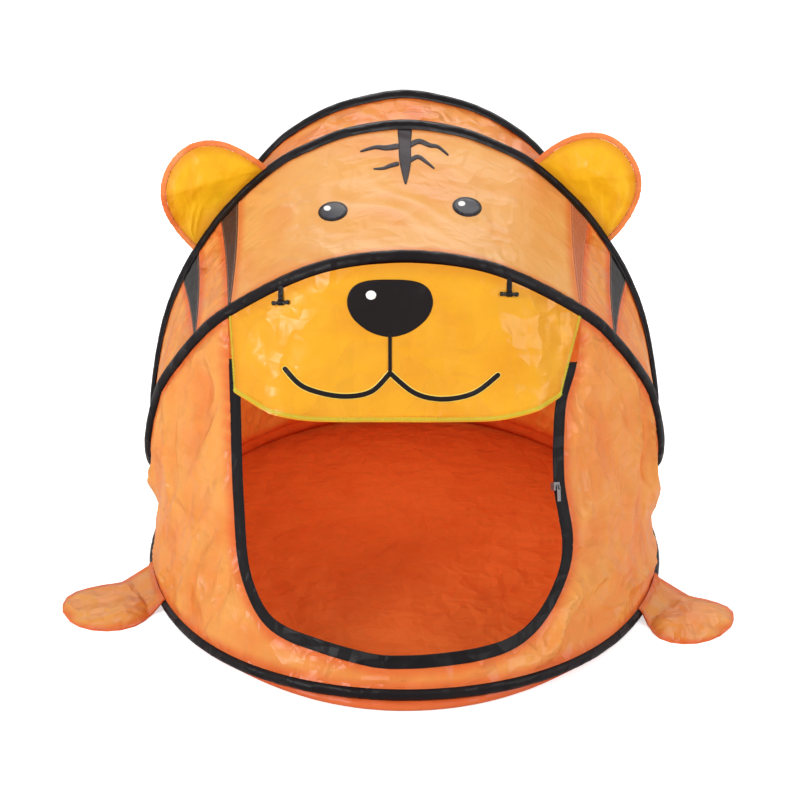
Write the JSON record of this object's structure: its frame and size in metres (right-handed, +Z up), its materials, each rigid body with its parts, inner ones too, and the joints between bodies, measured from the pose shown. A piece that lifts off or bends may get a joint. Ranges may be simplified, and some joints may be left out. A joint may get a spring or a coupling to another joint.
{
  "type": "kids play tent",
  "caption": "Pop-up children's play tent with an animal's face: sprung wire hoops in cloth sleeves, a zipped front door, a hanging muzzle flap, ears and paws.",
  "frame": {"origin": "middle of the rectangle that the tent covers on the ground, at the underside of the floor sheet", "axes": "+Z up, the door faces -Y, +X to the right of someone who looks at the door"},
  "size_m": [1.21, 1.3386, 0.8623],
  "materials": {
    "wall_taffeta": "satin",
    "face_taffeta": "satin",
    "floor_taffeta": "satin",
    "muzzle_taffeta": "satin",
    "ear_taffeta": "satin",
    "hem_thread": "satin",
    "sleeve_taffeta": "satin",
    "vent_mesh": "satin",
    "toggle_plastic": "satin",
    "spring_steel": "satin"
  },
  "bodies": {
    "tent": {"base_ring_ferrule": "spring_steel", "base_ring_sleeve": "sleeve_taffeta", "base_ring_wire": "spring_steel", "cheek_panel_left": "wall_taffeta", "cheek_panel_right": "wall_taffeta", "door_zip_tape": "sleeve_taffeta", "floor_sheet": "floor_taffeta", "forehead_panel": "face_taffeta", "front_loop_ferrule": "spring_steel", "front_loop_sleeve": "sleeve_taffeta", "front_loop_wire": "spring_steel", "front_wall_left": "wall_taffeta", "front_wall_right": "wall_taffeta", "inner_vent_left": "vent_mesh", "inner_vent_right": "vent_mesh", "muzzle_top": "muzzle_taffeta", "outer_vent_left": "vent_mesh", "outer_vent_right": "vent_mesh", "paw_cuff_left": "wall_taffeta", "paw_cuff_right": "wall_taffeta", "rear_canopy": "wall_taffeta", "rear_loop_ferrule": "spring_steel", "rear_loop_sleeve": "sleeve_taffeta", "rear_loop_wire": "spring_steel", "rear_wall": "wall_taffeta", "roll_strap_left": "sleeve_taffeta", "roll_strap_right": "sleeve_taffeta", "rolled_door": "wall_taffeta", "roof_strip": "wall_taffeta", "side_panel_left": "wall_taffeta", "side_panel_right": "wall_taffeta", "side_wall_left": "wall_taffeta", "side_wall_right": "wall_taffeta"},
    "muzzle": {"muzzle_flap": "muzzle_taffeta", "muzzle_hem": "hem_thread"},
    "toggle_left": {"toggle_ribbon_left": "sleeve_taffeta", "toggle_bar_left": "toggle_plastic"},
    "toggle_right": {"toggle_ribbon_right": "sleeve_taffeta", "toggle_bar_right": "toggle_plastic"},
    "slider": {"zip_slider": "spring_steel"},
    "puller": {"zip_puller": "spring_steel"},
    "ear_left_body": {"ear_left": "ear_taffeta", "ear_binding_left": "wall_taffeta"},
    "ear_right_body": {"ear_right": "ear_taffeta", "ear_binding_right": "wall_taffeta"},
    "paw_left_body": {"paw_left": "wall_taffeta"},
    "paw_right_body": {"paw_right": "wall_taffeta"}
  },
  "joints": [
    {"name": "muzzle_swing", "type": "hinge", "parent": "tent", "child": "muzzle", "pos_m": [0, -0.36926, 0.575], "axis": [-1, 0, 0], "range_deg": [0, 70]},
    {"name": "toggle_left_swing", "type": "hinge", "parent": "tent", "child": "toggle_left", "pos_m": [-0.20757, -0.3425, 0.62013], "axis": [-0.9021, 0.3945, -0.1747], "range_deg": [0, 90]},
    {"name": "toggle_right_swing", "type": "hinge", "parent": "tent", "child": "toggle_right", "pos_m": [0.17305, -0.35218, 0.63792], "axis": [-0.9593, -0.2595, 0.1109], "range_deg": [0, 90]},
    {"name": "zip_slide", "type": "slide", "parent": "tent", "child": "slider", "axis": [-0.0351, 0.3797, 0.9244], "range_m": [0, 0.04]},
    {"name": "puller_flip", "type": "hinge", "parent": "slider", "child": "puller", "pos_m": [0.25804, -0.4338, 0.29677], "axis": [-0.786, -0.5818, 0.2092], "range_deg": [0, 150]},
    {"name": "ear_left_flop", "type": "hinge", "parent": "tent", "child": "ear_left_body", "pos_m": [-0.33, 0.01, 0.67345], "axis": [0.6737, 0.0563, 0.7368], "range_deg": [0, 40], "stiffness_Nm_per_rad": 0.08},
    {"name": "ear_right_flop", "type": "hinge", "parent": "tent", "child": "ear_right_body", "pos_m": [0.31707, 0.01103, 0.68677], "axis": [0.6958, -0.0549, -0.7161], "range_deg": [0, 40], "stiffness_Nm_per_rad": 0.08},
    {"name": "paw_left_fold", "type": "hinge", "parent": "tent", "child": "paw_left_body", "pos_m": [-0.49813, -0.25307, 0.0034], "axis": [-0.4695, 0.8829, 0], "range_deg": [0, 75]},
    {"name": "paw_right_fold", "type": "hinge", "parent": "tent", "child": "paw_right_body", "pos_m": [0.48554, -0.30548, 0.0034], "axis": [-0.5878, -0.809, 0], "range_deg": [0, 75]}
  ]
}
